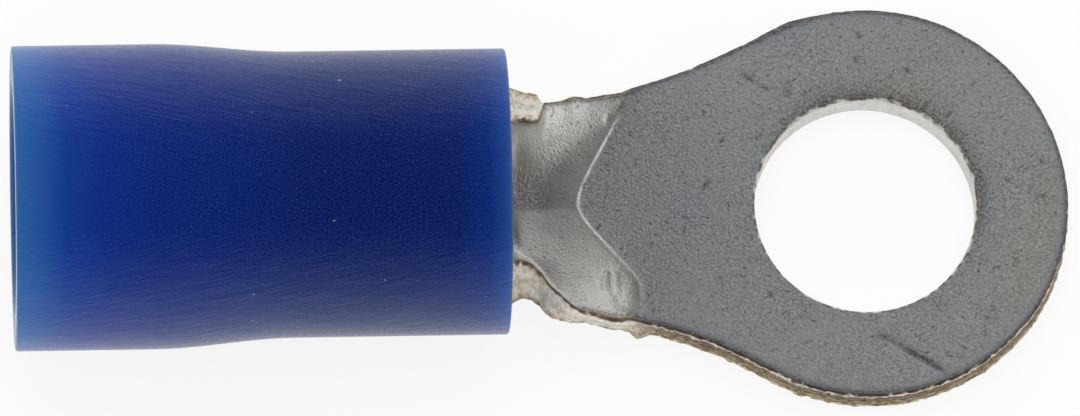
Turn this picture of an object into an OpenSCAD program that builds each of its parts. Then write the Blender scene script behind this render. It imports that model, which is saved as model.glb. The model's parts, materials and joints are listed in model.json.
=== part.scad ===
// Insulated ring terminal, in millimetres.
// The origin is the centre of the stud hole, on the underside of the tongue. +Z points up through the
// hole, +X points to the tip of the ring, and the wire comes in along +X from the sleeve's open end.

/* [Sheet] */
// Thickness of the tinned copper sheet
stock_t = 0.8; // [0.6:0.05:0.9]
// How much thinner the tongue is pressed than the sheet
coin_depth = 0.04; // [0.02:0.01:0.08]
// Radius of the rounded upper edge that the blanking die leaves
edge_roll = 0.12; // [0.06:0.02:0.2]

/* [Ring tongue] */
// Diameter of the stud hole
hole_d = 4.3; // [3.2:0.1:5]
// Outer diameter of the ring
ring_d = 7.88; // [7.2:0.02:9]
// Distance from the hole's centre forward to the ring's centre
ring_shift_x = 0.05; // [0:0.01:0.15]
// Distance from the hole's centre to the ring's centre, across the terminal
ring_shift_y = 0.06; // [0:0.01:0.15]

/* [Neck] */
// Width of the flat blank at the neck
neck_w = 4.36; // [3.8:0.02:4.6]
// Distance from the hole's centre to the middle of the neck, across the terminal
neck_shift = 0.11; // [0:0.01:0.15]
// Angle of the blank's sides where they taper from the ring to the neck
taper_angle = 23; // [20:0.5:26]
// Radius between the tapered sides and the neck
fillet_r = 5; // [3:0.5:7]
// Distance from the hole's centre back to the middle of the waist sheared into the right side
waist_x = 6.45; // [6.3:0.05:6.6]
// Depth of that waist
waist_depth = 0.32; // [0.1:0.02:0.4]
// Length of that waist
waist_len = 1.6; // [1.2:0.1:1.8]
// Distance from the hole's centre back to the tip of the crease that ends the pressed tongue
crease_x = 5.62; // [5.3:0.01:5.8]
// How far the crease runs forward for each millimetre out to the left
crease_left = 0.55; // [0.3:0.05:0.8]
// How far the crease runs forward for each millimetre out to the right
crease_right = 1; // [0.5:0.05:1.1]
// Radius of the crease's tip
crease_tip_r = 0.35; // [0.2:0.05:0.6]
// Width of the small step at the crease
crease_step_w = 0.06; // [0.04:0.02:0.12]
// Distance from the hole's centre back to where the trough's floor starts to flatten
trough_x = 6.58; // [6.4:0.02:6.8]
// Radius of the trough at the middle of the sheet
trough_r = 1.8; // [1.7:0.05:1.9]
// How fast the trough's flat floor widens on the left, in millimetres for each millimetre forward
floor_growth_left = 1.25; // [1.2:0.05:2.6]
// How fast the trough's flat floor widens on the right, in millimetres for each millimetre forward
floor_growth_right = 2.3; // [1.5:0.1:2.6]
// Length over which the floor starts to flatten
floor_soft = 0.25; // [0.1:0.01:0.4]

/* [Barrel] */
// Distance from the hole's centre back to the front of the crimp barrel
barrel_x = 7.4; // [7.2:0.05:7.6]
// Length of the crimp barrel
barrel_len = 4.85; // [4:0.05:6.5]
// Inner diameter of the crimp barrel
barrel_bore_d = 2.44; // [2.2:0.02:2.6]
// Radius of the blank's corner between the barrel and the neck, on the left
shoulder_left = 1.15; // [0.8:0.05:1.3]
// Radius of that corner on the right
shoulder_right = 0.65; // [0.5:0.05:1]
// Width of the butted seam along the top of the barrel
seam_gap = 0.06; // [0.04:0.02:0.2]
// Number of grooves that bite into the wire
groove_count = 3; // [2:1:4]
// Width of a groove
groove_w = 0.35; // [0.2:0.05:0.5]
// Depth of a groove
groove_depth = 0.08; // [0.04:0.02:0.15]
// Chamfer where the wire enters the barrel
wire_chamfer = 0.15; // [0.05:0.05:0.3]

/* [Sleeve] */
// Wall of the sleeve where it grips the barrel
sleeve_wall = 0.735; // [0.5:0.005:1]
// Gap between the barrel and the sleeve all round
sleeve_fit = 0.02; // [0.01:0.01:0.05]
// Gap between the trough and the sleeve at the sleeve's mouth
mouth_fit = 0.12; // [0.08:0.01:0.2]
// How far the sleeve reaches over the neck, past the front of the barrel
sleeve_front = 0.35; // [0.3:0.01:0.5]
// How far the sleeve reaches back past the rear of the barrel
sleeve_rear = 4.37; // [3:0.01:6]
// Inner diameter of the insulation entry at the rear of the sleeve
entry_d = 4.45; // [4.3:0.05:5]
// Wall of the sleeve round the insulation entry
entry_wall = 0.735; // [0.5:0.005:1]
// Length of the funnel that leads the wire from the entry down to the barrel
funnel_len = 1.7; // [1.2:0.1:2.4]
// How far in front of the barrel's rear end the sleeve starts to swell outside
swell_lead = 1.1; // [0.6:0.1:1.6]
// Rounding of the sleeve's rims
rim_r = 0.05; // [0.04:0.01:0.2]

/* [Hidden] */

$fn = 96;
eps = 0.01;

// the tongue
hole_r = hole_d / 2;
ring_r = ring_d / 2;
tongue_t = stock_t - coin_depth;

// the barrel stands on the same plane as the tongue
bore_r = barrel_bore_d / 2;
barrel_r = bore_r + stock_t;
barrel_mid_r = bore_r + stock_t / 2;
axis_z = barrel_r;
barrel_front = -barrel_x;
barrel_rear = barrel_front - barrel_len;

// the sleeve, around the barrel
mouth = barrel_front + sleeve_front;
sleeve_end = barrel_rear - sleeve_rear;
grip_r = barrel_r + sleeve_fit;
mouth_r = trough_r + stock_t / 2 + mouth_fit;
entry_r = entry_d / 2;
sleeve_r = grip_r + sleeve_wall;
swell_r = entry_r + entry_wall;
swell_start = barrel_rear + swell_lead;
swell_end = barrel_rear - funnel_len;

// how deep the neck is let into the ring's edge, and into the front of the barrel
ring_bite = 0.04;
barrel_bite = 0.25;
// how far the neck's faces lie inside the barrel's wall there
wall_bite = 0.06;

// ---- outline of the flat blank -------------------------------------------------------------

// side is 1 on the left of the terminal (+Y) and -1 on the right
function neck_half(side) = neck_w / 2 + side * neck_shift;
function bitten_r() = ring_r - ring_bite;

// the straight tapered side leaves the ring here, as a tangent
function taper_end() = ring_shift_x - bitten_r() * sin(taper_angle);
function taper_end_half(side) = side * ring_shift_y + bitten_r() * cos(taper_angle);

// the fillet between the neck and the tapered side: where it starts, and how long it is
fillet_len = fillet_r * sin(taper_angle);
function fillet_start(side) =
    taper_end() - (taper_end_half(side) - neck_half(side)) / tan(taper_angle)
    - fillet_r * tan(taper_angle / 2);

function taper(x, side) =
    let (along = min(x, taper_end()) - fillet_start(side))
    along > fillet_len
    ? taper_end_half(side) + tan(taper_angle) * (min(x, taper_end()) - taper_end())
    : neck_half(side) + fillet_r - sqrt(fillet_r ^ 2 - max(0, along) ^ 2);

// the rounded corner where the blank widens to the barrel
function shoulder_r(side) = side > 0 ? shoulder_left : shoulder_right;
function shoulder(x, side) =
    let (r = shoulder_r(side), back = max(0, min(r, barrel_front + r - x)))
    r - sqrt(r ^ 2 - back ^ 2);

// the waist on the right side
function waist(x, side) =
    side > 0 || abs(x + waist_x) > waist_len / 2
    ? 0
    : waist_depth * (1 + cos(360 * (x + waist_x) / waist_len)) / 2;

// half the width of the flat blank
function half_width(x, side) = taper(x, side) + shoulder(x, side) - waist(x, side);

// ---- the blank, curled into a trough -------------------------------------------------------

// half the width of the trough's flat floor
function floor_w(x, side) =
    let (d = x + trough_x, growth = side > 0 ? floor_growth_left : floor_growth_right)
    growth * (d + sqrt(d ^ 2 + floor_soft ^ 2)) / 2;

// radius of the curled sides at the middle of the sheet, from the barrel's to the trough's
function curl_r(x) =
    let (t = max(0, min(1, (x - barrel_front) / sleeve_front)))
    barrel_mid_r + (trough_r - barrel_mid_r) * t ^ 2 * (3 - 2 * t);

// a point of the sheet: x along the terminal, s across the flat blank, h above the sheet's middle
function sheet_point(x, s, h) =
    let (
        side = s < 0 ? -1 : 1,
        flat = min(abs(s), floor_w(x, side)),
        r = curl_r(x),
        turn = (abs(s) - flat) / r * 180 / PI
    )
    [x, side * (flat + (r - h) * sin(turn)), stock_t / 2 + h * cos(turn) + r * (1 - cos(turn))];

// ---- rows of points along the neck ---------------------------------------------------------

// the rows bend forward at both sides, as the crease does
function row_x(row, s) =
    let (slope = s < 0 ? crease_right : crease_left)
    row[0] + row[1] * slope * (sqrt(s ^ 2 + crease_tip_r ^ 2) - crease_tip_r);

// half the blank's width where a bent row meets its edge
function row_edge(row, side, s, tries) =
    tries == 0 ? s : row_edge(row, side, half_width(row_x(row, side * s), side), tries - 1);

covered_rows = 4;
trough_rows = 24;
flare_rows = 14;
edge_tries = 12;
neck_end = taper_end() + 0.2;

// each row: its place on the centre line, how much it is bent, and whether the die pressed it
rows = [
    [barrel_front - barrel_bite, 0, false],
    for (k = [0:covered_rows - 1])
        [barrel_front + sleeve_front * k / covered_rows, 0, false],
    for (k = [0:trough_rows])
        [mouth + (-crease_x - mouth) * k / trough_rows, k / trough_rows, false],
    for (k = [0:flare_rows])
        let (x0 = -crease_x + crease_step_w)
        [x0 + (neck_end - x0) * k / flare_rows, 1 - k / flare_rows, true]
];

floor_steps = 28;
roll_steps = 3;

// places across a row: the rounded edge, the face, and the other rounded edge, from right to left
function across_row(row) =
    let (
        right = row_edge(row, -1, neck_w / 2, edge_tries),
        left = row_edge(row, 1, neck_w / 2, edge_tries)
    )
    [
        for (k = [0:roll_steps - 1])
            let (a = 90 * k / roll_steps)
            [-right + edge_roll * (1 - cos(a)), edge_roll * (1 - sin(a))],
        for (k = [0:floor_steps])
            [-right + edge_roll + (left + right - 2 * edge_roll) * k / floor_steps, 0],
        for (k = [roll_steps - 1:-1:0])
            let (a = 90 * k / roll_steps)
            [left - edge_roll * (1 - cos(a)), edge_roll * (1 - sin(a))]
    ];

// the sheet thins a little towards the barrel, so that it enters the barrel's wall cleanly
function thinning(x) = wall_bite * max(0, min(1, (mouth - x) / sleeve_front));

function top_row(row) =
    [for (p = across_row(row))
        let (x = row_x(row, p[0]))
        sheet_point(x, p[0], stock_t / 2 - thinning(x) - p[1] - (row[2] ? coin_depth : 0))];

function bottom_row(row) =
    [for (p = across_row(row))
        let (x = row_x(row, p[0]))
        sheet_point(x, p[0], thinning(x) - stock_t / 2)];

// ---- pieces --------------------------------------------------------------------------------

// two triangles between the points a, b of one row and c, d of the next
function quad(a, b, c, d) = [[a, b, d], [a, d, c]];

// the neck: one closed skin through all rows
module neck() {
    tops = [for (row = rows) top_row(row)];
    bottoms = [for (row = rows) bottom_row(row)];
    across = len(tops[0]);
    count = len(rows);
    under = count * across;
    points = concat([for (r = tops) each r], [for (r = bottoms) each r]);
    last = (count - 1) * across;
    faces = [
        for (i = [0:count - 2], j = [0:across - 2])
            let (a = i * across + j, b = a + across)
            each concat(quad(a, a + 1, b, b + 1), quad(under + b, under + b + 1, under + a, under + a + 1)),
        for (i = [0:count - 2])
            let (right = i * across, left = right + across - 1)
            each concat(
                quad(right + across, under + right + across, right, under + right),
                quad(left, under + left, left + across, under + left + across)
            ),
        for (j = [0:across - 2])
            each concat(
                quad(j + 1, j, under + j + 1, under + j),
                quad(last + j, last + j + 1, under + last + j, under + last + j + 1)
            )
    ];
    polyhedron(points, faces);
}

// the ring: a disc with a rounded upper edge
module ring_disc() {
    translate([ring_shift_x, ring_shift_y, 0])
        rotate_extrude() {
            square([ring_r - edge_roll, tongue_t]);
            square([ring_r, tongue_t - edge_roll]);
            translate([ring_r - edge_roll, tongue_t - edge_roll])
                intersection() {
                    circle(edge_roll);
                    square(edge_roll);
                }
        }
}

// what the punch takes out for the stud, with the rounded edge that it leaves on top
module stud_hole() {
    translate([0, 0, -eps])
        cylinder(h = stock_t + 2 * eps, r = hole_r);
    translate([0, 0, tongue_t - edge_roll])
        rotate_extrude()
            difference() {
                square([hole_r + edge_roll, edge_roll + eps]);
                translate([hole_r + edge_roll, 0])
                    circle(edge_roll);
            }
}

// the crimp barrel: a rolled tube with a butted seam on top and grooves inside
module barrel() {
    groove_pitch = barrel_len / (groove_count + 1);
    difference() {
        translate([barrel_rear, 0, axis_z])
            rotate([0, 90, 0])
                difference() {
                    cylinder(h = barrel_len, r = barrel_r);
                    translate([0, 0, -eps])
                        cylinder(h = barrel_len + 2 * eps, r = bore_r);
                    translate([0, 0, -eps])
                        cylinder(h = wire_chamfer + eps, r1 = bore_r + wire_chamfer + eps, r2 = bore_r);
                    for (k = [1:groove_count])
                        translate([0, 0, k * groove_pitch - groove_w / 2])
                            cylinder(h = groove_w, r = bore_r + groove_depth);
                }
        translate([barrel_rear - eps, -seam_gap / 2, axis_z])
            cube([barrel_len + 2 * eps, seam_gap, barrel_r + eps]);
    }
}

// the stamped and rolled terminal, all one piece of tinned copper
module terminal_body() {
    color("#8c8f90")
        union() {
            difference() {
                union() {
                    ring_disc();
                    neck();
                }
                stud_hole();
            }
            barrel();
        }
}

// a smooth S between two radii, as points [radius, place along the axis]
function swell(r0, x0, r1, x1, steps) =
    [for (k = [0:steps])
        [r0 + (r1 - r0) * (1 - cos(180 * k / steps)) / 2, x0 + (x1 - x0) * k / steps]];

// a quarter round of a rim, from angle a0 to a1 about its centre
function rim_arc(r, x, a0, a1, steps) =
    [for (k = [0:steps])
        let (a = a0 + (a1 - a0) * k / steps)
        [r + rim_r * cos(a), x + rim_r * sin(a)]];

// the extruded vinyl sleeve: it grips the barrel, flares at its mouth and swells round the entry
module vinyl_sleeve() {
    swell_steps = 12;
    rim_steps = 4;
    profile = concat(
        rim_arc(sleeve_r - rim_r, mouth - rim_r, 0, 90, rim_steps),
        [[mouth_r, mouth], [grip_r, barrel_front - barrel_bite], [grip_r, barrel_rear]],
        swell(grip_r, barrel_rear - eps, entry_r, swell_end, swell_steps),
        [[entry_r, sleeve_end + rim_r], [entry_r + rim_r, sleeve_end]],
        rim_arc(swell_r - rim_r, sleeve_end + rim_r, -90, 0, rim_steps),
        swell(swell_r, swell_end, sleeve_r, swell_start, swell_steps)
    );
    color("#1f4796")
        translate([0, 0, axis_z])
            rotate([0, 90, 0])
                rotate_extrude()
                    polygon(profile);
}

terminal_body();
vinyl_sleeve();
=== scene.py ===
# Insulated ring terminal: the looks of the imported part. Lengths in the dictionaries are millimetres.
import math

import bpy
import numpy as np
from mathutils import Matrix, Vector, noise
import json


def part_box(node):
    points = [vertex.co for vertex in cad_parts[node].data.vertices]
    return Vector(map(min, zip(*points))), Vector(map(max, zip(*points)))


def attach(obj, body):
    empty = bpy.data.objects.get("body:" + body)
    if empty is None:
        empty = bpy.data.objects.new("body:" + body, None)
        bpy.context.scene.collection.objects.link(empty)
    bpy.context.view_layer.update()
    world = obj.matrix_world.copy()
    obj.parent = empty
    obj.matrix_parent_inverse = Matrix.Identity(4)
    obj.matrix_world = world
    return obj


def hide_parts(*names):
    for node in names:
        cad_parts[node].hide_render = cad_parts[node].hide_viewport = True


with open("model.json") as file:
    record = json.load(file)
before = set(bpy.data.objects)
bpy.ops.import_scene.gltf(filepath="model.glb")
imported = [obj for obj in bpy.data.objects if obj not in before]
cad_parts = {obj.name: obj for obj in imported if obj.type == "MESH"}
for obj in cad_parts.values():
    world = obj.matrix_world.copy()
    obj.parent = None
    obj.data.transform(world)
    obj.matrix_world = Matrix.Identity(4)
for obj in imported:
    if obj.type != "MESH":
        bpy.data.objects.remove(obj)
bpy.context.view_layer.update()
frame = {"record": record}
print("frame loaded")

mm = 0.001
mounts = {m["name"]: m for m in frame["record"]["mounts"]}
bodyLow, bodyHigh = [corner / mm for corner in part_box("terminal_body")]
sleeveLow, sleeveHigh = [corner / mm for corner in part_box("vinyl_sleeve")]
axisHeight = mounts["wire_barrel"]["pos_m"][2] / mm  # of the barrel and of the sleeve
noiseShift = (7.31, 3.17, 5.23)  # from one seed's noise to the next


# an sRGB hex colour as Blender's linear red, green, blue and alpha
def linear(hexColour):
    shares = [int(hexColour[k:k + 2], 16) / 255 for k in (1, 3, 5)]
    return [s / 12.92 if s <= 0.04045 else ((s + 0.055) / 1.055) ** 2.4 for s in shares] + [1]


# adds a node: a setting is a property, a socket's value or colour, an output to link, or a ramp's stops
def addNode(tree, kind, settings=None):
    node = tree.nodes.new("ShaderNode" + kind)
    for name, value in (settings or {}).items():
        if name == "stops":
            while len(node.color_ramp.elements) < len(value):
                node.color_ramp.elements.new(0.5)
            for element, (place, colour) in zip(node.color_ramp.elements, value):
                element.position = place
                element.color = linear(colour) if isinstance(colour, str) else (colour, colour, colour, 1)
        elif isinstance(value, bpy.types.NodeSocket):
            tree.links.new(value, node.inputs[name])
        elif isinstance(name, str) and hasattr(node, name):
            setattr(node, name, value)
        else:
            node.inputs[name].default_value = linear(value) if isinstance(value, str) else value
    return node


def newMaterial(name):
    material = bpy.data.materials.new(name)
    material.use_nodes = True
    material.node_tree.nodes.clear()
    return material, material.node_tree


# adds the noises of a material's dictionary to its numbers, then the shares worked out of them
def addNumbers(tree, numbers, places, settings):
    for name, (size, detail, roughness) in settings["noises"].items():
        numbers[name] = addNode(tree, "TexNoise", {
            "Scale": 1 / size, "Detail": detail, "Roughness": roughness, "Vector": places}).outputs["Fac"]
    for name, (source, start, end, low, high) in settings["shares"].items():
        numbers[name] = addNode(tree, "MapRange", {
            "From Min": start, "From Max": end, "To Min": low, "To Max": high,
            "Value": numbers[source]}).outputs["Result"]


# rises smoothly from 0 at low to 1 at high
def smoothStep(values, low, high):
    t = np.clip((values - low) / (high - low), 0, 1)
    return t * t * (3 - 2 * t)


# soft noise between about -1 and 1 at every point, with bumps of the given size in millimetres
def softNoise(points, size, seed):
    shift = Vector([seed * step for step in noiseShift])
    return np.array([noise.noise(Vector(p) / size + shift) for p in points.tolist()])


# a mesh object from points in millimetres, with its own numbers at the points and a map in millimetres
def meshPiece(name, points, faces, material, attributes, mapPlaces):
    mesh = bpy.data.meshes.new(name)
    mesh.from_pydata((points * mm).tolist(), [], faces.tolist())
    mesh.update()
    mesh.shade_smooth()
    for key, values in attributes.items():
        layer = mesh.attributes.new(key, "FLOAT", "POINT")
        layer.data.foreach_set("value", values.astype(np.float32))
    corners = np.zeros(len(mesh.loops), np.int32)
    mesh.loops.foreach_get("vertex_index", corners)
    layer = mesh.uv_layers.new(name="flatMap")
    layer.data.foreach_set("uv", mapPlaces[corners].astype(np.float32).ravel())
    mesh.materials.append(material)
    piece = bpy.data.objects.new(name, mesh)
    bpy.context.scene.collection.objects.link(piece)
    return piece


# faces between neighbouring rows of a grid of point numbers
def gridFaces(grid):
    return np.stack([grid[:-1, :-1], grid[1:, :-1], grid[1:, 1:], grid[:-1, 1:]], -1).reshape(-1, 4)


# numbers that the terminal's mesh gives its material: how sheared the edge is and how far down its wall,
# whether it is the neck's or the hole's, then what the upper face shows
edgeNumbers = ("shear", "edgeLevel", "neckEdge", "holeEdge")
faceNumbers = ("burnish", "stale", "dirt", "grit", "passed", "worn")

tin = {
    "sheetColour": "#c8c8c8",      # tin plate
    "patchColour": "#c1c4c9",      # faint bluish patches
    "warmColour": "#c6c5be",       # and yellowish ones
    "burnishedColour": "#e6e4df",  # rubbed by the forming punch
    "darkGrain": "#77797a", "brightGrain": "#f4f4f2",
    "burnishedGrain": 0.08,        # share of that grain that is left where it is burnished
    "dirtColour": "#46392c",       # dark brown: dirt in the pits and specks, and painted shade along the rims, round the hole and by the sleeve
    "pitDirt": 0.45,
    "staleColour": "#bfc2c9",      # of the duller strip along the rim
    "wornColour": "#ffffff",       # painted highlight on the line where the coined face ends
    "wornMetallic": 0.45,
    "lineReach": 0.25,             # how far to each side of that line its distance is known
    "burnishedRoughness": 0.34, "grittyRoughness": 0.2,
    "grainDepth": 0.062, "pitDepth": 0.05, "markDepth": 0.016,
    # short scuffs: length and width, the directions they lie in, and what keeps the three sets apart
    "marks": (0.24, 0.05, 0.24), "markTurns": (0.5, 1.5, 2.7), "markShift": (37, 19, 0),
    "markEdges": {"From Min": 0.66, "From Max": 0.76},
    # size in millimetres, detail and roughness; the real grain is finer, and drawn coarser so that it shows
    "noises": {
        "grain": (0.055, 3, 0.65), "pitShapes": (0.085, 2, 0.5), "patches": (1.3, 4, 0.5),
        "warmth": (2.21, 3, 0.5), "waver": (0.16, 5, 0.5), "torn": (0.09, 3, 0.5),
    },
    # of which number, from where to where, and what that gives
    "shares": {
        "pits": ("pitShapes", 0.62, 0.72, 0, 1),
        "patchy": ("patches", 0.4, 0.7, 0, 1),
        "warm": ("warmth", 0.5, 0.75, 0, 1),
        "plainGrain": ("patches", 0.35, 0.65, 0.16, 0.42),
        "darker": ("grain", 0.5, 0.64, 0, 1),
        "brighter": ("grain", 0.48, 0.36, 0, 1),
        "dirtHeld": ("grain", 0.3, 0.65, 0.25, 1),
        "nearLine": ("offLine", 0.016, 0.034, 0.85, 0),
        "wander": ("waver", 0.2, 0.8, -0.15, 0.15),  # of the edge's layers, as a share of its height
        "speckles": ("torn", 0.36, 0.56, 0, 1),
        "specklesShown": ("neckEdge", 0, 1, 0.75, 0.4),
        "matt": ("grain", 0.3, 0.7, 0.44, 0.6),
        "metallic": ("shear", 0, 1, 0.9, 0.35),
        "smooth": ("burnish", 0, 1, 1, 0.25),
        "scuffed": ("burnish", 0, 1, 1, 0.1),
        "gritRaised": ("grit", 0, 1, 0, 0.45),
    },
}
shearedEdge = {
    # from the upper corner down: painted shade at the lip, a bright line where the die stopped, then torn
    # layers
    "ring": [(0.0, "#4a3e31"), (0.08, "#5c4c3b"), (0.14, "#f2ebdf"), (0.21, "#eadfcf"), (0.27, "#524130"),
             (0.38, "#a8906c"), (0.50, "#64513c"), (0.62, "#bfad8a"), (0.76, "#84704f"), (0.88, "#d9cba3"),
             (1.0, "#efe6c9")],
    # the neck's wall starts dark brown at its top corner, partly bare copper and partly painted shade; the
    # hole's starts with painted shade at its lip
    "neckEdge": [(0.0, "#5c4c3a"), (0.09, "#8f7d66"), (0.15, "#e2dccf"), (0.34, "#efece4"),
                 (0.55, "#d9d2c3"), (0.78, "#e8e3d8"), (0.92, "#b9aa90"), (1.0, "#9a8768")],
    "holeEdge": [(0.0, "#6b5f52"), (0.07, "#dcdad6"), (0.2, "#f6f5f2"), (1.0, "#f4f2ee")],
    "speckleColours": ("#8a7a66", "#ffffff"), "specklesInHole": 0.12,
    "roughness": 0.6, "tearDepth": 0.03,
}


# Tin-plated copper strip, blanked and coined: a matt pitted skin that blurs every reflection,
# smoother and brighter where the neck was formed, with sheared edges of painted shade at the lip, smeared tin
# and bare copper, painted shade along the rims, round the hole and by the sleeve, and a painted highlight on
# the crease.
def tinPlatedCopper():
    material, tree = newMaterial("tin_plated_copper")
    places = addNode(tree, "TexCoord").outputs["Object"]
    at = addNode(tree, "VectorMath", {"operation": "SCALE", "Scale": 1 / mm, 0: places}).outputs[0]
    numbers = {key: addNode(tree, "Attribute", {"attribute_name": key}).outputs["Fac"]
               for key in edgeNumbers + faceNumbers}
    offLine = addNode(tree, "Math", {"operation": "SUBTRACT", 0: numbers["passed"], 1: tin["lineReach"]})
    offLine = addNode(tree, "Math", {"operation": "ABSOLUTE", 0: offLine.outputs[0]})
    numbers["offLine"] = offLine.outputs[0]
    addNumbers(tree, numbers, at, tin)
    # onLine: where the painted highlight shows, on the crease line and along the glinting scratch
    onLine = addNode(tree, "Math", {
        "operation": "MULTIPLY", 0: numbers["nearLine"], 1: numbers["worn"]}).outputs[0]

    scuffs = 0
    for k, turn in enumerate(tin["markTurns"]):
        along = addNode(tree, "Mapping", {
            "vector_type": "TEXTURE", "Rotation": (0, 0, turn), "Scale": tin["marks"],
            "Location": [k * step for step in tin["markShift"]], "Vector": at}).outputs["Vector"]
        shape = addNode(tree, "TexNoise", {"Scale": 1, "Detail": 1, "Vector": along}).outputs["Fac"]
        mark = addNode(tree, "MapRange", {**tin["markEdges"], "Value": shape}).outputs["Result"]
        scuffs = addNode(tree, "Math", {"operation": "MAXIMUM", 0: scuffs, 1: mark}).outputs[0]

    # each layer's colour, and the two shares that it is laid on by
    fineGrain = addNode(tree, "Mix", {
        0: numbers["burnish"], 2: numbers["plainGrain"], 3: tin["burnishedGrain"]}).outputs[0]
    # the dark brown layer is dirt and painted shade together; the white one is a painted highlight
    colour = tin["sheetColour"]
    for name, share, also in (("patchColour", numbers["patchy"], 1), ("warmColour", numbers["warm"], 1),
                              ("burnishedColour", numbers["burnish"], 1),
                              ("darkGrain", numbers["darker"], fineGrain),
                              ("brightGrain", numbers["brighter"], fineGrain),
                              ("dirtColour", numbers["pits"], tin["pitDirt"]),
                              ("staleColour", numbers["stale"], 1),
                              ("dirtColour", numbers["dirt"], numbers["dirtHeld"]),
                              ("wornColour", onLine, 1)):
        both = addNode(tree, "Math", {"operation": "MULTIPLY", 0: share, 1: also}).outputs[0]
        colour = addNode(tree, "Mix", {"data_type": "RGBA", 0: both, 6: colour, 7: tin[name]}).outputs[2]

    level = addNode(tree, "Math", {
        "operation": "ADD", 0: numbers["edgeLevel"], 1: numbers["wander"]}).outputs[0]
    edge = addNode(tree, "ValToRGB", {"stops": shearedEdge["ring"], "Fac": level}).outputs["Color"]
    for name in ("neckEdge", "holeEdge"):
        layers = addNode(tree, "ValToRGB", {"stops": shearedEdge[name], "Fac": level}).outputs["Color"]
        edge = addNode(tree, "Mix", {"data_type": "RGBA", 0: numbers[name], 6: edge, 7: layers}).outputs[2]
    dark, bright = shearedEdge["speckleColours"]
    speckle = addNode(tree, "Mix", {
        "data_type": "RGBA", 0: numbers["speckles"], 6: dark, 7: bright}).outputs[2]
    shown = addNode(tree, "Mix", {
        0: numbers["holeEdge"], 2: numbers["specklesShown"], 3: shearedEdge["specklesInHole"]}).outputs[0]
    edge = addNode(tree, "Mix", {
        "data_type": "RGBA", "blend_type": "MULTIPLY", 0: shown, 6: edge, 7: speckle}).outputs[2]
    colour = addNode(tree, "Mix", {"data_type": "RGBA", 0: numbers["shear"], 6: colour, 7: edge}).outputs[2]

    roughness = numbers["matt"]
    for name, value in (("burnish", tin["burnishedRoughness"]), ("grit", tin["grittyRoughness"]),
                        ("shear", shearedEdge["roughness"])):
        roughness = addNode(tree, "Mix", {0: numbers[name], 2: roughness, 3: value}).outputs[0]
    metallic = addNode(tree, "Mix", {
        0: onLine, 2: numbers["metallic"], 3: tin["wornMetallic"]}).outputs[0]
    gritty = addNode(tree, "Math", {
        "operation": "ADD", 0: numbers["smooth"], 1: numbers["gritRaised"]}).outputs[0]

    # each bump lies on the ones before it: its height, depth and strength, and whether it goes inwards
    under = {}
    for height, depth, strength, inwards in (
            (numbers["grain"], tin["grainDepth"], gritty, False),
            (numbers["pits"], tin["pitDepth"], numbers["smooth"], True),
            (scuffs, tin["markDepth"], numbers["scuffed"], True),
            (numbers["torn"], shearedEdge["tearDepth"], numbers["shear"], False)):
        bump = addNode(tree, "Bump", {
            "invert": inwards, "Distance": depth * mm, "Height": height, "Strength": strength, **under})
        under = {"Normal": bump.outputs["Normal"]}
    surface = addNode(tree, "BsdfPrincipled", {
        "Base Color": colour, "Roughness": roughness, "Metallic": metallic, **under})
    addNode(tree, "OutputMaterial", {"Surface": surface.outputs["BSDF"]})
    return material


vinyl = {
    # colours along the sleeve, from its open end to its mouth: thin free ends let more light through
    "colours": [(0.0, "#2b629f"), (0.033, "#22569a"), (0.10, "#023186"), (0.18, "#012074"),
                (0.284, "#011866"), (0.383, "#01145e"), (0.587, "#010d4b"), (0.74, "#020943"),
                (0.892, "#010d4c"), (0.953, "#011f66"), (0.985, "#143b80"), (1.0, "#2c5088")],
    "roughness": 0.22,
    "ior": 1.53,              # of PVC
    "hazeColour": "#c6e4ff",  # of the gloss: the skin scatters a little blue
    "grainColour": "#0a3fa6", "dustColour": "#a9b7d4",
    "lines": (1.1, 0.16, 1),  # length and width of the fine drawn lines
    "lineDetail": {"Scale": 1, "Detail": 5, "Roughness": 0.75},
    "slant": 14,              # degrees that they lean across the sleeve, to either side
    "swellDepth": 0.03, "lineDepth": 0.026, "grainDepth": 0.009,
    # size in millimetres, detail and roughness; pigment is finer too, and drawn coarser so that it shows
    "noises": {"grain": (0.036, 2, 0.5), "dust": (0.16, 1, 0.5), "swells": (0.9, 2, 0.5)},
    # of which number, from where to where, and what that gives
    "shares": {
        "along": ("x", sleeveLow.x, sleeveHigh.x, 0, 1),
        "otherSide": ("around", -0.8, 0.8, 0, 1),
        "cloudy": ("grain", 0.4, 0.7, 0, 0.42),
        "dusty": ("dust", 0.79, 0.82, 0, 0.6),
    },
}


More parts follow.
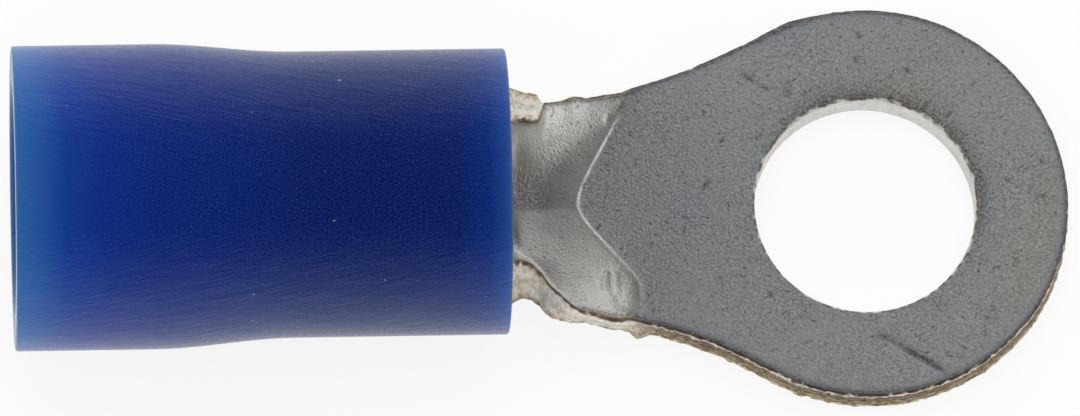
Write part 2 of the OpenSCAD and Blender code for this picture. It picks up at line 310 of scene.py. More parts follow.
# Soft PVC, extruded and dyed through: deep blue with a waxy gloss, fine slanting draw lines
# that show where light grazes it, and lighter ends where light gets into the free wall.
def extrudedVinyl():
    material, tree = newMaterial("extruded_blue_vinyl")
    flat = addNode(tree, "UVMap", {"uv_map": "flatMap"}).outputs["UV"]
    parts = addNode(tree, "SeparateXYZ", {"Vector": flat})
    numbers = {"x": parts.outputs["X"], "around": parts.outputs["Y"]}
    addNumbers(tree, numbers, flat, vinyl)
    colour = addNode(tree, "ValToRGB", {"stops": vinyl["colours"], "Fac": numbers["along"]}).outputs["Color"]
    for name, share in (("grainColour", "cloudy"), ("dustColour", "dusty")):
        colour = addNode(tree, "Mix", {
            "data_type": "RGBA", 0: numbers[share], 6: colour, 7: vinyl[name]}).outputs[2]

    lines = []
    for side in (1, -1):
        lean = addNode(tree, "Mapping", {
            "vector_type": "TEXTURE", "Rotation": (0, 0, side * math.radians(vinyl["slant"])),
            "Scale": vinyl["lines"], "Vector": flat}).outputs["Vector"]
        lines.append(addNode(tree, "TexNoise", {**vinyl["lineDetail"], "Vector": lean}).outputs["Fac"])
    drawn = addNode(tree, "Mix", {0: numbers["otherSide"], 2: lines[0], 3: lines[1]}).outputs[0]
    under = {}
    for height, depth in ((numbers["swells"], "swellDepth"), (drawn, "lineDepth"),
                          (numbers["grain"], "grainDepth")):
        bump = addNode(tree, "Bump", {"Distance": vinyl[depth] * mm, "Height": height, **under})
        under = {"Normal": bump.outputs["Normal"]}
    surface = addNode(tree, "BsdfPrincipled", {
        "Roughness": vinyl["roughness"], "IOR": vinyl["ior"], "Specular Tint": vinyl["hazeColour"],
        "Base Color": colour, **under})
    addNode(tree, "OutputMaterial", {"Surface": surface.outputs["BSDF"]})
    return material


terminal = {
    "sheet": 0.8, "coined": 0.04, "edgeRoll": 0.07,
    "ringShift": (0.05, 0.06),
    # on the left and on the right: the taper's angle, the fillet at its foot, half the neck's width
    "flare": ((24.8, 8.9, 2.25), (31.9, 7.4, 2.158)),
    "bulge": (-1.45, 0.45, 0.05),    # of the ring's left side: place, length, height
    "waist": (-6.45, 0.41, 1.6),     # on the right side: place, depth, length
    "shoulders": (1.15, 0.65),       # on the left, on the right
    # where the shears strayed: side, start and its softness, end and its softness, how far out
    "strays": ((1, -5.5, 0.15, -4.5, 0.2, -0.055), (-1, -6.32, 0.03, -5.9, 0.2, 0.06),
               (-1, -6.3, 0.08, -4.85, 0.2, 0.085), (1, -6.25, 0.05, -5.75, 0.1, -0.05),
               (-1, -6.5, 0.06, -6.1, 0.06, 0.07)),
    "barrelFront": -7.4, "sleeveFront": 0.35, "seam": 0.06,
    "barrelStep": 0.001,             # how far behind that front the blank gets its full width
    "trough": (-6.58, 0.25, 1.8),    # where its floor starts to widen, how softly, its radius
    "floorGrowth": (1.0, 2.3),       # of half its floor for each millimetre forward, left and right
    "setsIn": 0.3,                   # how far past the mouth the fold on the left and the rise are full
    "leftFold": (0.4, -5.4, -4.6),   # its softness, and where that is lost again
    "rightFold": (0.35, 0.6, 0.305),  # how far past the mouth it is full, radius, what lost height takes off
    "levelling": (0.85, -6.42, -6.2),  # of the left edge past its torn end: share of its turn, from, to
    # how the right half of the neck rises: slope, then more past this place across; from, to and back at
    "rise": (0.165, 0.07, 0.5, -6.5, -5.9, -5.75, -4.5),
    # the neck's shallow middle: place, half its width, depth, and where it runs out
    "valley": (0.05, 1.2, 0.12, -6.5, -5.65),
    "crease": (-5.60, 0.60, 0.97, 0.39, 0.1),  # place, slopes left and right, tip radius, its place across
    "creaseStop": (-4.40, 0.12),     # how far forward the crease gets, and how softly it turns
    "creaseSlant": 1.15,             # millimetres along the sheet for each one straight across the crease
    "creaseWidth": 0.06, "burnishFade": 0.05,
    "ridge": (0.02, 0.035), "ridgeFade": (1.5, 2.1),  # height and width, and where it ends on the right
    "grooves": 3, "grooveWidth": 0.35, "grooveDepth": 0.08, "grooveFlank": (0.8, 1.1),
    # waves in the face: height, size and seed; the last and finest is partly rubbed out by the punch
    "waves": ((0.008, 0.7, 1), (0.005, 0.25, 2), (0.0022, 0.11, 3)), "rubbedOut": 0.6,
    # scratches and the marks of the fold: start, end, half the width, depth
    "scratches": (((0.13, -2.60), (1.47, -3.48), 0.075, 0.075), ((0.53, -2.68), (0.69, -2.86), 0.05, 0.02),
                  ((0.67, -2.94), (0.96, -3.07), 0.06, 0.02), ((-2.33, 2.70), (-2.05, 2.49), 0.06, 0.03),
                  ((-5.09, -1.28), (-5.13, -1.72), 0.05, 0.04), ((-5.13, -1.72), (-4.97, -1.97), 0.05, 0.035),
                  ((-4.97, -1.22), (-4.95, -1.60), 0.035, 0.016),
                  ((-4.87, -1.21), (-4.92, -1.86), 0.035, 0.016),
                  ((-5.22, -1.45), (-5.18, -1.86), 0.04, 0.014), ((-4.99, 1.99), (-4.97, 1.74), 0.04, 0.025),
                  ((-1.42, 0.2), (-1.3, 0.6), 0.04, -0.01)),
    # dirt along some of them, and a painted highlight along one: start, end, half the width, share
    "stains": (((0.62, -2.86), (1.5, -3.43), 0.038, 0.75), ((-3.2, 0.36), (-3.02, 0.54), 0.05, 0.7),
               ((-2.33, 2.72), (-2.05, 2.51), 0.03, 0.5), ((-5.16, -1.3), (-5.2, -1.75), 0.04, 0.65),
               ((-5.0, -2.0), (-4.55, -2.2), 0.1, 0.6), ((-4.85, 2.02), (-4.6, 2.2), 0.08, 0.5)),
    "glints": (((0.16, -2.67), (1.42, -3.51), 0.04, 0.4),), "glintEdge": 0.1,
    # dirt in small dents, strewn over the ring but for the first
    "specks": {"seed": 7, "count": 46, "first": (-3.12, 0.44), "fromEdges": 0.2, "length": (0.03, 0.11),
               "width": (0.028, 0.04), "depth": 0.012, "dirt": (0.2, 0.8)},
    "ringFrom": -2,                  # ahead of this the rim is the ring's
    "staleStrip": (0.1, 0.1),        # along the rim: its width, and how softly it ends
    "lip": (0.035, 0.9),             # painted shade along the rim: how softly it ends, share
    # painted shade round the hole, over a little dirt all round: width, how softly it ends, share; where the
    # shade is thickest and from where to where, and what is left of it elsewhere
    "soot": (0.08, 0.16, 0.8), "sootSide": (1.0, -0.1, 0.7), "sootAround": 0.15,
    # the painted highlight on the crease line: where it ends on the left, what it loses on the right and
    # where, and how uneven it is
    "wornEnd": (1.6, 1.95), "wornLoss": (0.75, 0.8, 1.4), "wornPlain": 0.8, "wornUneven": (0.5, 0.3, 4),
    # grit by the sleeve, darkened with painted shade where the trough runs into the mouth: along from and to,
    # across from and to, how ragged, share of painted shade
    "gritAlong": ((-7.0, -6.8), (-6.8, -5.7)), "gritAcross": ((-0.02, 0.12), (0.7, 1.4)),
    "gritRagged": (0.35, 0.25, 8), "gritDirt": 0.5,
    # down the rounded edge: angle and how torn it is there; then shares of the way down the wall
    "edgeTurns": ((0.3, 0.7), (0.7, 1.0), (1.15, 1.0), (math.pi / 2, 1.0)),
    "wallShares": (0.1, 0.2, 0.3, 0.42, 0.55, 0.68, 0.8, 0.9, 1),
    # how far the wall is torn: everywhere, more on the outside, more again at its foot
    "tearing": (0.004, 0.006, 0.02), "tearBack": 0.01,
    "tears": ((0.10, 5, 2.5), (0.3, 6, 1.5)),  # size, seed, and how fast they change down the wall
    # the torn wall round the ring's front: from, to, its top back and its foot out, as shares of the roll
    "frontWall": (1.2, 3), "frontLean": 0.4, "frontFoot": 0.05,
    # the wall's top leans out on the neck's right: how far, from, to
    "neckLean": (0.9, (-6.2, -5.8), (-4.9, -4.5)),
    "burr": (-4.45, 0.15, 0.12, 0.6),  # low on the right: place, half its length, how far out, from how low
    "neckColours": (-4.9, -3.9),     # where the neck's edge turns to the ring's
    "cut": -3.1,                     # where the neck's rows give way to rays round the hole
    "spacing": 0.052,                # between points of the mesh
    "barrelRows": 48, "mouthRows": 8, "mouthGap": 0.03, "taperPoints": 60, "ringPoints": 600,
    "sharpest": 0.6,                 # limits how far a corner of the outline is pushed out
}
holeRadius = mounts["stud_hole"]["dims"]["r_mm"]
boreRadius = mounts["wire_barrel"]["dims"]["r_mm"]
barrelMiddle = boreRadius + terminal["sheet"] / 2
barrelRear = bodyLow.x
ringRadius = bodyHigh.x - terminal["ringShift"][0]
mouth = terminal["barrelFront"] + terminal["sleeveFront"]  # where the sleeve ends and the neck shows


def ringBulge(x):
    place, length, height = terminal["bulge"]
    return height * np.exp(-((x - place) / length) ** 2)


# half the width of the flat blank at x, on the left (side 1) or the right (side -1)
def blankHalf(x, side):
    angle, radius, neck = terminal["flare"][0 if side > 0 else 1]
    angle = math.radians(angle)
    endX = terminal["ringShift"][0] - ringRadius * math.sin(angle)
    endHalf = side * terminal["ringShift"][1] + ringRadius * math.cos(angle)
    start = endX - (endHalf - neck) / math.tan(angle) - radius * math.tan(angle / 2)
    filletLength = radius * math.sin(angle)
    along = np.clip(x - start, 0, filletLength)
    fillet = neck + radius - np.sqrt(radius ** 2 - along ** 2)
    half = np.where(x > start + filletLength, endHalf + math.tan(angle) * (x - endX), fillet)
    corner = terminal["shoulders"][0 if side > 0 else 1]
    back = np.clip(terminal["barrelFront"] + corner - x, 0, corner)
    half = half + corner - np.sqrt(corner ** 2 - back ** 2)
    if side > 0:
        half = half + ringBulge(x)
    else:
        place, depth, length = terminal["waist"]
        half = half - depth * (1 + np.cos(math.pi * np.clip((x - place) / length * 2, -1, 1))) / 2
    for where, begin, beginSoft, end, endSoft, out in terminal["strays"]:
        if where == side:
            half = half + out * (smoothStep(x, begin - beginSoft, begin + beginSoft)
                                 - smoothStep(x, end - endSoft, end + endSoft))
    rolled = math.pi * barrelMiddle - terminal["seam"] / 2
    return np.where(x < terminal["barrelFront"] - terminal["barrelStep"], rolled, half)


# where the crease lies on the flat blank
def creaseAt(s):
    place, left, right, tip, middle = terminal["crease"]
    stop, soft = terminal["creaseStop"]
    u = s - middle
    x = place + np.where(u < 0, right, left) * (np.sqrt(u ** 2 + tip ** 2) - tip)
    return (x + stop - np.sqrt((x - stop) ** 2 + soft ** 2)) / 2


# the place in space of a point of the blank: along x, across s, h above the sheet's middle
def rolledPoint(x, s, h):
    place, soft, radius = terminal["trough"]
    left = s >= 0
    growth = np.where(left, terminal["floorGrowth"][0], terminal["floorGrowth"][1])
    d = x - place
    floorHalf = np.where(x < terminal["barrelFront"], 0, growth * (d + np.sqrt(d ** 2 + soft ** 2)) / 2)
    radius = barrelMiddle + (radius - barrelMiddle) * smoothStep(x, terminal["barrelFront"], mouth)
    setIn = smoothStep(x, mouth, mouth + terminal["setsIn"])

    # the fold on the right is late and tight, but turns the edge as far
    full, tightRadius, turnShare = terminal["rightFold"]
    tighter = np.where(left, 0, smoothStep(x, mouth, mouth + full) * (radius - tightRadius))
    edgeHalf = blankHalf(x, -1)
    edgeTurn = np.maximum(edgeHalf - floorHalf, 0) / radius
    shift = tighter * (np.sin(edgeTurn) - turnShare * (1 - np.cos(edgeTurn)))
    radius = radius - tighter
    flatEnd = floorHalf + shift
    floorReach = np.minimum(floorHalf, edgeHalf)
    folded = floorReach + shift + radius * edgeTurn
    unfolded = np.where(tighter > 0, edgeHalf, floorReach + radius * edgeTurn)
    reach = np.abs(s) * np.where(left, 1, folded / unfolded)

    # the fold on the left starts softly
    softness, begin, end = terminal["leftFold"]
    ease = np.where(left, softness * setIn * (1 - smoothStep(x, begin, end)), 0)
    past = reach - flatEnd
    eased = (past + np.sqrt(past ** 2 + ease ** 2) - np.sqrt(flatEnd ** 2 + ease ** 2) + flatEnd) / 2
    turn = np.where(ease > 0, eased, np.maximum(past, 0)) / radius
    flat = reach - radius * turn

    # past its torn end the left edge bends back towards level
    share, begin, end = terminal["levelling"]
    level = np.where(left, share * smoothStep(x, begin, end), 0)
    peak = np.maximum(blankHalf(x, 1) - flatEnd, 0) / radius * (1 - level / 2)
    back = (level > 0) & (turn > peak)
    lean = np.where(back, 2 * peak - turn, turn)
    out = np.where(back, 2 * np.sin(peak) - np.sin(lean), np.sin(lean))
    up = np.where(back, 1 - 2 * np.cos(peak) + np.cos(lean), 1 - np.cos(lean))

    # the right half rises towards its edge
    slope, more, after, begin, end, foot, stop = terminal["rise"]
    rightS = np.maximum(-s, 0)
    rise = slope * rightS * setIn
    rise = rise + more * np.maximum(rightS - after, 0) ** 2 * smoothStep(x, begin, end)
    rise = rise * (1 - smoothStep(x, foot, stop))
    side = np.where(left, 1, -1)
    return np.stack([x, side * (flat + radius * out - h * np.sin(lean)),
                     terminal["sheet"] / 2 + h * np.cos(lean) + radius * up + rise], -1)


# the flat blank inside its rounded edge: places, faces, and the two rims as loops of point numbers
def flatBlank():
    roll = terminal["edgeRoll"]
    step = terminal["spacing"]
    cut = terminal["cut"]
    front = terminal["barrelFront"]
    barrelEnd = front - terminal["mouthGap"]
    rows = np.concatenate([np.linspace(barrelRear + roll, barrelEnd, terminal["barrelRows"]),
                           np.linspace(front, mouth, terminal["mouthRows"]),
                           np.linspace(mouth, cut, round((cut - mouth) / step))[1:]])
    right, left = -(blankHalf(rows, -1) - roll), blankHalf(rows, 1) - roll
    columns = round((left[-1] - right[-1]) / step)
    across = np.linspace(0, 1, columns + 1)
    neckS = right[:, None] + (left - right)[:, None] * across
    neckX = np.repeat(rows[:, None], columns + 1, 1)
    neck = np.arange(neckX.size).reshape(neckX.shape)
    places = [np.stack([neckX.ravel(), neckS.ravel()], -1)]

    # the outline from the right end of the cut, round the ring, to the left end of the cut;
    # the tapers stop a few points short of the ring, so that the join stays smooth
    shiftX, shiftY = terminal["ringShift"]
    angles = [math.radians(terminal["flare"][k][0]) for k in (0, 1)]
    tapers = [np.linspace(cut, shiftX - ringRadius * math.sin(angle), terminal["taperPoints"])[:-3]
              for angle in angles]
    turns = np.linspace(-math.pi / 2 - angles[1], math.pi / 2 + angles[0], terminal["ringPoints"])
    radii = ringRadius - roll + ringBulge(shiftX + ringRadius * np.cos(turns)) * (turns > 0)
    outline = np.concatenate([np.stack([tapers[1], roll - blankHalf(tapers[1], -1)], -1),
                              np.stack([shiftX + radii * np.cos(turns), shiftY + radii * np.sin(turns)], -1),
                              np.stack([tapers[0], blankHalf(tapers[0], 1) - roll], -1)[::-1]])
    lengths = np.concatenate([[0], np.cumsum(np.linalg.norm(np.diff(outline, axis=0), axis=1))])
    marks = np.linspace(0, lengths[-1], round(lengths[-1] / step) + 1)[1:-1]
    rim = np.stack([np.interp(marks, lengths, outline[:, k]) for k in (0, 1)], -1)

    # rays from the hole's rim to that outline and, on the neck's side, to its last row
    ends = np.concatenate([places[0][neck[-1, :1]], rim, places[0][neck[-1, ::-1]]])
    starts = ends / np.linalg.norm(ends, axis=1, keepdims=True) * (holeRadius + roll)
    steps = round((ringRadius - holeRadius - 2 * roll) / step)
    shares = np.linspace(0, 1, steps + 1)[:-1, None, None]
    count = len(ends) - 1  # the last ray is the first one
    inner = (starts + (ends - starts) * shares)[:, :count]
    rays = neck.size + np.arange(steps * count).reshape(steps, count)
    rimNumbers = rays.max() + 1 + np.arange(len(rim))
    places += [inner.reshape(-1, 2), rim]
    fan = np.concatenate([rays, np.concatenate([neck[-1, :1], rimNumbers, neck[-1, :0:-1]])[None]])
    fan = np.concatenate([fan, fan[:, :1]], 1)

    faces = np.concatenate([gridFaces(neck), gridFaces(fan)])
    outerRim = np.concatenate([neck[:, 0], rimNumbers, neck[::-1, -1], neck[0, -2:0:-1]])
    holeRim = rays[0, ::-1]
    return np.concatenate(places), faces, outerRim, holeRim


# outward directions in the plane along a closed loop that runs with the blank on its left
def outward(loop):
    ahead = np.roll(loop, -1, 0) - loop
    ahead /= np.linalg.norm(ahead, axis=1, keepdims=True)
    before = np.roll(ahead, 1, 0)
    normals = [np.stack([v[:, 1], -v[:, 0]], -1) for v in (before, ahead)]
    both = normals[0] + normals[1]
    return both / np.maximum(1 + np.sum(normals[0] * normals[1], 1), terminal["sharpest"])[:, None]


# the share of a scratch's depth at every point: full along its line, less at its ends
def scratchShare(x, s, start, end, width):
    (x0, s0), (x1, s1) = start, end
    t = ((x - x0) * (x1 - x0) + (s - s0) * (s1 - s0)) / ((x1 - x0) ** 2 + (s1 - s0) ** 2)
    t = np.clip(t, 0, 1)
    away = np.hypot(x - x0 - t * (x1 - x0), s - s0 - t * (s1 - s0))
    return np.exp(-(away / width) ** 2) * (1 - (2 * t - 1) ** 6)


# height of the upper face above the sheet's middle, how burnished, stale and dirty it is, where painted shade
# darkens it and where a painted highlight lies
def upperFace(x, s):
    inSight = smoothStep(x, terminal["barrelFront"], mouth)
    ahead = (x - creaseAt(s)) / terminal["creaseSlant"]
    burnish = 1 - smoothStep(ahead, -terminal["burnishFade"], 0.0)
    top = terminal["sheet"] / 2 - terminal["coined"] * smoothStep(ahead, 0, terminal["creaseWidth"])
    fades = 1 - smoothStep(-s, *terminal["ridgeFade"])
    height, width = terminal["ridge"]
    top = top + height * np.exp(-(ahead / width) ** 2) * inSight * fades
    place, width, depth, begin, end = terminal["valley"]
    sunk = depth * np.maximum(0, 1 - np.abs(s - place) / width)
    top = top - sunk * (1 - smoothStep(x, begin, end)) * inSight
    pitch = (terminal["barrelFront"] - barrelRear) / (terminal["grooves"] + 1)
    for k in range(terminal["grooves"]):
        away = np.abs(x - barrelRear - (k + 1) * pitch) * 2 / terminal["grooveWidth"]
        top = top - terminal["grooveDepth"] * (1 - smoothStep(away, *terminal["grooveFlank"]))

    flatPlaces = np.stack([x, s, 0 * x], -1)
    coarse, finer, finest = [height * softNoise(flatPlaces, size, seed)
                             for height, size, seed in terminal["waves"]]
    top = top + (coarse + finer + finest * (1 - terminal["rubbedOut"] * burnish)) * inSight
    for start, end, width, depth in terminal["scratches"]:
        top = top - depth * scratchShare(x, s, start, end, width)

    dirt = 0 * x
    specks = terminal["specks"]
    draw = np.random.default_rng(specks["seed"])
    for k in range(specks["count"]):
        turn = draw.uniform(0, 2 * math.pi)
        out = draw.uniform(holeRadius + specks["fromEdges"], ringRadius - specks["fromEdges"])
        placeX, placeS = specks["first"] if k == 0 else (out * math.cos(turn), out * math.sin(turn))
        length = draw.uniform(*specks["length"])
        lean = draw.uniform(0, math.pi)
        width = draw.uniform(*specks["width"])
        start = (placeX - length * math.cos(lean), placeS - length * math.sin(lean))
        end = (placeX + length * math.cos(lean), placeS + length * math.sin(lean))
        share = scratchShare(x, s, start, end, width)
        top = top - specks["depth"] * share
        dirt = np.maximum(dirt, share * draw.uniform(*specks["dirt"]))

    shiftX, shiftY = terminal["ringShift"]
    toRim = np.where(x < terminal["ringFrom"],
                     np.where(s > 0, blankHalf(x, 1), blankHalf(x, -1)) - np.abs(s),
                     ringRadius - np.hypot(x - shiftX, s - shiftY))
    toHole = np.hypot(x, s) - holeRadius
    width, soft = terminal["staleStrip"]
    stale = np.exp(-np.maximum(toRim - width, 0) / soft) * (1 - burnish)
    # painted shade along the rim
    soft, rimShadeShare = terminal["lip"]
    lip = np.exp(-np.maximum(toRim - terminal["edgeRoll"], 0) / soft)
    # painted shade round the hole, heaviest on its upper right side, over a little dirt all round
    direction, low, high = terminal["sootSide"]
    shaded = smoothStep(np.cos(np.arctan2(s, x) - direction), low, high)
    width, soft, holeShadeShare = terminal["soot"]
    around = terminal["sootAround"]
    soot = np.exp(-np.maximum(toHole - width, 0) / soft) * (around + (1 - around) * shaded)

    # a painted highlight along the crease line
    loss, low, high = terminal["wornLoss"]
    worn = inSight * (1 - smoothStep(s, *terminal["wornEnd"]))
    worn = worn * (1 - loss * smoothStep(-s, low, high)) * fades
    amount, size, seed = terminal["wornUneven"]
    worn = worn * (terminal["wornPlain"] + amount * softNoise(flatPlaces, size, seed))
    # grit by the sleeve, which also carries painted shade
    amount, size, seed = terminal["gritRagged"]
    ragged = amount * softNoise(flatPlaces, size, seed)
    starts, ends = terminal["gritAlong"]
    grit = smoothStep(x, *starts) * (1 - smoothStep(x + ragged, *ends))
    starts, ends = terminal["gritAcross"]
    grit = grit * smoothStep(s, *starts) * (1 - smoothStep(s + ragged, *ends))

    # dirt and painted shade in one layer
    dirt = np.maximum(np.maximum(dirt, soot * holeShadeShare),
                      np.maximum(lip * rimShadeShare, grit * terminal["gritDirt"]))
    for start, end, width, share in terminal["stains"]:
        dirt = np.maximum(dirt, share * scratchShare(x, s, start, end, width))
    onLine = tin["lineReach"]
    passed = np.clip(ahead, -onLine, onLine) + onLine
    # a painted highlight along one scratch
    for start, end, width, share in terminal["glints"]:
        share = share * scratchShare(x, s, start, end, width)
        passed = np.where(share > terminal["glintEdge"], onLine, passed)
        worn = np.where(share > terminal["glintEdge"], share, worn)
    return top, {"burnish": burnish, "stale": stale, "dirt": dirt, "grit": grit, "passed": passed,
                 "worn": np.clip(worn, 0, 1)}


def makeTerminal(material):
    flat, faces, outerRim, holeRim = flatBlank()
    half = terminal["sheet"] / 2
    roll = terminal["edgeRoll"]
    x, s = flat[:, 0], flat[:, 1]
    top, skin = upperFace(x, s)
    count = len(flat)
    points = [rolledPoint(x, s, top), rolledPoint(x, s, -half + 0 * x)]
    allFaces = [faces, faces[:, ::-1] + count]
    maps = [flat, flat]
    numbers = {key: [skin.get(key, 0 * x), 0 * x] for key in edgeNumbers + faceNumbers}

    # down the rounded edge and the sheared wall: how far out, how far down, how torn
    profile = [(roll * math.sin(a), roll * (1 - math.cos(a)), torn) for a, torn in terminal["edgeTurns"]]
    profile += [(roll, roll + (2 * half - roll) * share, 1.0) for share in terminal["wallShares"]]
    everywhere, outside, atFoot = terminal["tearing"]
    leanOut, leanFrom, leanTo = terminal["neckLean"]
    burrPlace, burrLength, burrOut, burrFrom = terminal["burr"]
    first = 2 * count
    for rim in (outerRim, holeRim):
        loop = flat[rim]
        away = outward(loop)
        along, onRight = loop[:, 0], loop[:, 1] < 0
        isOuter = rim is outerRim
        flatLoop = np.concatenate([loop, 0 * loop[:, :1]], -1)
        burr = burrOut * np.exp(-((along - burrPlace) / burrLength) ** 2) * onRight * isOuter
        atFront = smoothStep(along, *terminal["frontWall"])
        neckLean = leanOut * smoothStep(along, *leanFrom) * (1 - smoothStep(along, *leanTo)) * onRight
        rings = [rim]
        for offset, drop, torn in profile:
            down = drop / (2 * half)
            jagged = (outside + atFoot * down) * isOuter + everywhere
            tears = [softNoise(flatLoop + np.array([0, 0, change * down]), size, seed)
                     for size, seed, change in terminal["tears"]]
            rough = torn * jagged * (tears[0] + tears[1])
            lean = 1 - terminal["frontLean"] * atFront * (1 - down) * isOuter
            lean = lean + neckLean * (1 - down) * isOuter
            lean = lean + terminal["frontFoot"] * atFront * down * isOuter
            lowBurr = burr * smoothStep(np.array(down), burrFrom, 1)
            reach = offset * lean + rough + lowBurr - terminal["tearBack"] * torn
            placed = loop + away * reach[:, None]
            points.append(rolledPoint(placed[:, 0], placed[:, 1], np.maximum(top[rim] - drop, -half)))
            rings.append(first + np.arange(len(rim)))
            first += len(rim)
            maps.append(placed)
            here = np.ones(len(rim))
            added = {"shear": here * torn, "edgeLevel": here * down,
                     "neckEdge": 1 - smoothStep(along, *terminal["neckColours"]),
                     "holeEdge": here * (not isOuter),
                     "burnish": skin["burnish"][rim], "stale": skin["stale"][rim]}
            for key in numbers:
                numbers[key].append(added.get(key, 0 * here))
        rings.append(rim + count)
        grid = np.stack(rings)
        allFaces.append(gridFaces(np.concatenate([grid, grid[:, :1]], 1)))
    piece = meshPiece("stamped_terminal", np.concatenate(points), np.concatenate(allFaces), material,
                      {key: np.concatenate(values) for key, values in numbers.items()}, np.concatenate(maps))
    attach(piece, "root")
    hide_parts("terminal_body")
    print("terminal:", len(piece.data.polygons), "faces")


sleeve = {
    "wall": 0.735, "rim": 0.05, "mouthRadius": 2.32, "grip": 2.04,
    "swellLead": 1.1, "funnel": 1.7, "frontGrip": -7.65,
    "mouthLip": (0.1, 0.04),  # how far in the mouth's chamfer ends, and how much narrower it is there
    "sides": 360, "step": 0.07, "rimAngles": (90, 60, 30), "entryRows": 20, "funnelRows": 24, "gripRows": 24,
}


def makeSleeve(material):
    outerRadius = sleeve["grip"] + sleeve["wall"]
    swellRadius = (sleeveHigh.z - sleeveLow.z) / 2
    entryRadius = mounts["insulation_entry"]["dims"]["r_mm"]
    front, end = sleeveHigh.x, sleeveLow.x
    swellStart, swellEnd = barrelRear + sleeve["swellLead"], barrelRear - sleeve["funnel"]
    rim = sleeve["rim"]
    lipIn, lipNarrower = sleeve["mouthLip"]

    def swell(x, low, high):
        return (1 - np.cos(math.pi * np.clip((x - low) / (high - low), 0, 1))) / 2

    outside = np.arange(front - rim, end + rim, -sleeve["step"])
    outsideRadius = outerRadius + (swellRadius - outerRadius) * swell(outside, swellStart, swellEnd)
    inside = np.concatenate([np.linspace(end + rim, swellEnd, sleeve["entryRows"]),
                             np.linspace(swellEnd, barrelRear, sleeve["funnelRows"])[1:],
                             np.linspace(barrelRear, sleeve["frontGrip"], sleeve["gripRows"])[1:],
                             [front - lipIn]])
    funnelRadius = sleeve["grip"] + (entryRadius - sleeve["grip"]) * swell(inside, barrelRear, swellEnd)
    insideRadius = np.where(inside < barrelRear, funnelRadius, sleeve["grip"])
    insideRadius[-1] = sleeve["mouthRadius"] - lipNarrower
    arcs = np.radians(sleeve["rimAngles"])
    profile = [(front - rim + rim * math.sin(a), outerRadius - rim + rim * math.cos(a)) for a in arcs]
    profile += list(zip(outside, outsideRadius))
    profile += [(end + rim - rim * math.sin(a), swellRadius - rim + rim * math.cos(a)) for a in arcs[::-1]]
    profile += [(end, entryRadius + rim)] + list(zip(inside, insideRadius)) + [(front, sleeve["mouthRadius"])]
    profile = np.array(profile)

    turns = np.linspace(0, 2 * math.pi, sleeve["sides"], endpoint=False)
    x = np.repeat(profile[:, :1], len(turns), 1)
    r = np.repeat(profile[:, 1:], len(turns), 1)
    points = np.stack([x, r * np.sin(turns), axisHeight - r * np.cos(turns)], -1).reshape(-1, 3)
    grid = np.arange(len(points)).reshape(x.shape)
    grid = np.concatenate([grid, grid[:1]])
    grid = np.concatenate([grid, grid[:, :1]], 1)
    maps = np.stack([x, (turns - math.pi) * r], -1).reshape(-1, 2)
    piece = meshPiece("vinyl_sleeve_drawn", points, gridFaces(grid), material, {}, maps)
    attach(piece, "root")
    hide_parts("vinyl_sleeve")
    print("sleeve:", len(piece.data.polygons), "faces")


studio = {
    "floorSize": 160, "floorColour": "#fbfbfa", "floorGlow": 0.85,
    "darkFrom": (0, -0.259, 0.966),  # the dark overhead, a little to the right of straight up
    # how bright the surroundings are: from straight out of that dark (1) to the opposite side (-1)
    "surroundings": [(1.0, 0.03), (0.82, 0.035), (0.63, 0.14), (0.5, 0.24), (0.21, 0.48), (-0.05, 0.85),
                     (-0.34, 1.0)],
    # two bright windows, past the ring and past the sleeve: their direction, and where their light rises
    "windows": (0.848, 0, 0.53),
    "windowShape": {"From Min": 0.88, "From Max": 0.97, "To Min": 0, "To Max": 1.2},
    "fillDistance": 150, "fillSize": 160, "fillTarget": (-6, 0, 0),
    # azimuth, elevation and power of the soft fills
    "fills": {"overhead": (0, 90, 0.135), "left": (90, 15, 0.14), "right": (-90, 15, 0.13)},
}


def makeFloor():
    # it touches the sleeve's front rim and the ring's tip, as the terminal lies on a table
    low = Vector((sleeveHigh.x, 0, axisHeight - sleeve["grip"] - sleeve["wall"]))
    high = Vector((bodyHigh.x, 0, 0))
    tilt = math.atan2(high.z - low.z, high.x - low.x)
    size = studio["floorSize"] / 2
    middle = (low + high) / 2
    slope = Matrix.Rotation(-tilt, 3, "Y")
    corners = [(middle + slope @ Vector((a * size, b * size, 0))) * mm
               for a, b in ((-1, -1), (1, -1), (1, 1), (-1, 1))]
    mesh = bpy.data.meshes.new("floor_card")
    mesh.from_pydata(corners, [], [(0, 1, 2, 3)])

    # white to the camera and in reflections, but for the object's shadow, and clear from below
    material, tree = newMaterial("white_card")
    path = addNode(tree, "LightPath")
    shown = path.outputs["Is Camera Ray"]
    for ray in ("Is Glossy Ray", "Is Transmission Ray"):
        shown = addNode(tree, "Math", {"operation": "MAXIMUM", 0: shown, 1: path.outputs[ray]}).outputs[0]
    shown = addNode(tree, "MapRange", {"To Max": studio["floorGlow"], "Value": shown}).outputs["Result"]
    matt = addNode(tree, "BsdfDiffuse", {"Color": studio["floorColour"]}).outputs[0]
    white = addNode(tree, "Emission", {"Color": "#ffffff", "Strength": 1}).outputs[0]
    lit = addNode(tree, "MixShader", {0: shown, 1: matt, 2: white}).outputs[0]
    below = addNode(tree, "NewGeometry").outputs["Backfacing"]
    clear = addNode(tree, "BsdfTransparent").outputs[0]
    card = addNode(tree, "MixShader", {0: below, 1: lit, 2: clear})
    addNode(tree, "OutputMaterial", {"Surface": card.outputs[0]})
    mesh.materials.append(material)
    floor = bpy.data.objects.new("floor_card", mesh)
    bpy.context.scene.collection.objects.link(floor)
    print("floor laid")


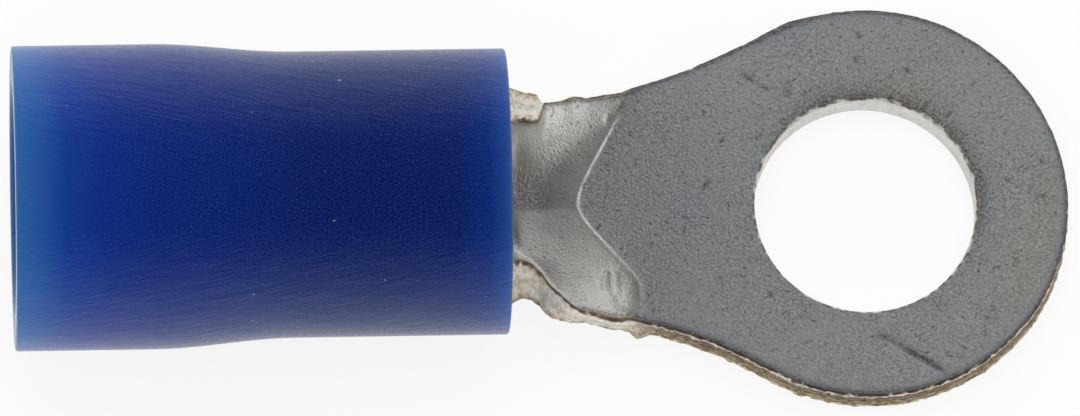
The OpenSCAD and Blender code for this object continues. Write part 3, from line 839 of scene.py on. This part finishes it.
def makeLight():
    world = bpy.data.worlds.new("soft_studio")
    bpy.context.scene.world = world
    world.use_nodes = True
    tree = world.node_tree
    tree.nodes.clear()
    towards = addNode(tree, "TexCoord").outputs["Generated"]
    facing = addNode(tree, "VectorMath", {
        "operation": "DOT_PRODUCT", 0: towards, 1: studio["darkFrom"]}).outputs["Value"]
    turned = addNode(tree, "MapRange", {"From Min": 1, "From Max": -1, "Value": facing}).outputs["Result"]
    stops = [((1 - out) / 2, level) for out, level in studio["surroundings"]]
    around = addNode(tree, "ValToRGB", {"stops": stops, "Fac": turned}).outputs["Color"]
    ends = addNode(tree, "VectorMath", {"operation": "ABSOLUTE", 0: towards}).outputs[0]
    ends = addNode(tree, "VectorMath", {
        "operation": "DOT_PRODUCT", 0: ends, 1: studio["windows"]}).outputs["Value"]
    window = addNode(tree, "MapRange", {**studio["windowShape"], "Value": ends}).outputs["Result"]
    around = addNode(tree, "Mix", {
        "data_type": "RGBA", "blend_type": "LIGHTEN", 0: 1.0, 6: around, 7: window}).outputs[2]
    toCamera = addNode(tree, "LightPath").outputs["Is Camera Ray"]
    seen = addNode(tree, "Mix", {"data_type": "RGBA", 0: toCamera, 6: around, 7: "#ffffff"}).outputs[2]
    sky = addNode(tree, "Background", {"Strength": 1, "Color": seen})
    addNode(tree, "OutputWorld", {"Surface": sky.outputs["Background"]})

    # soft fills that the tin doesn't mirror
    for name, (azimuth, elevation, power) in studio["fills"].items():
        light = bpy.data.lights.new(name + "_fill", "AREA")
        light.shape = "SQUARE"
        light.size = studio["fillSize"] * mm
        light.energy = power
        lamp = bpy.data.objects.new(name + "_fill", light)
        a, e = math.radians(azimuth), math.radians(elevation)
        away = Vector((math.cos(a) * math.cos(e), math.sin(a) * math.cos(e), math.sin(e)))
        lamp.location = (Vector(studio["fillTarget"]) + away * studio["fillDistance"]) * mm
        lamp.rotation_euler = away.to_track_quat("Z", "Y").to_euler()
        lamp.visible_camera = False
        lamp.visible_glossy = False
        bpy.context.scene.collection.objects.link(lamp)
    print("light set")


camera = {
    "target": (-6.359, -0.036, 1.0), "distance": 380, "millimetresAcross": 21.0,
    "forwardTilt": 2.816, "sideTilt": 16.96, "roll": -1.689,
    "sensor": 36, "clip": (0.01, 10),  # the clip in metres
}


def makeCamera():
    lens = bpy.data.cameras.new("main_camera")
    lens.sensor_width = camera["sensor"]
    lens.lens = lens.sensor_width * camera["distance"] / camera["millimetresAcross"]
    lens.clip_start, lens.clip_end = camera["clip"]
    forward, sideways = [math.tan(math.radians(camera[name])) for name in ("forwardTilt", "sideTilt")]
    back = Vector((-forward, -sideways, 1)).normalized()
    up = (Vector((0, 1, 0)) - back * back.y).normalized()
    right = up.cross(back)
    turn = Matrix((right, up, back)).transposed() @ Matrix.Rotation(math.radians(camera["roll"]), 3, "Z")
    place = (Vector(camera["target"]) + back * camera["distance"]) * mm
    eye = bpy.data.objects.new("main_camera", lens)
    eye.matrix_world = Matrix.Translation(place) @ turn.to_4x4()
    bpy.context.scene.collection.objects.link(eye)
    bpy.context.scene.camera = eye
    print("camera set")


makeTerminal(tinPlatedCopper())
makeSleeve(extrudedVinyl())
makeFloor()
makeLight()
makeCamera()
bpy.context.scene.view_settings.view_transform = "Standard"
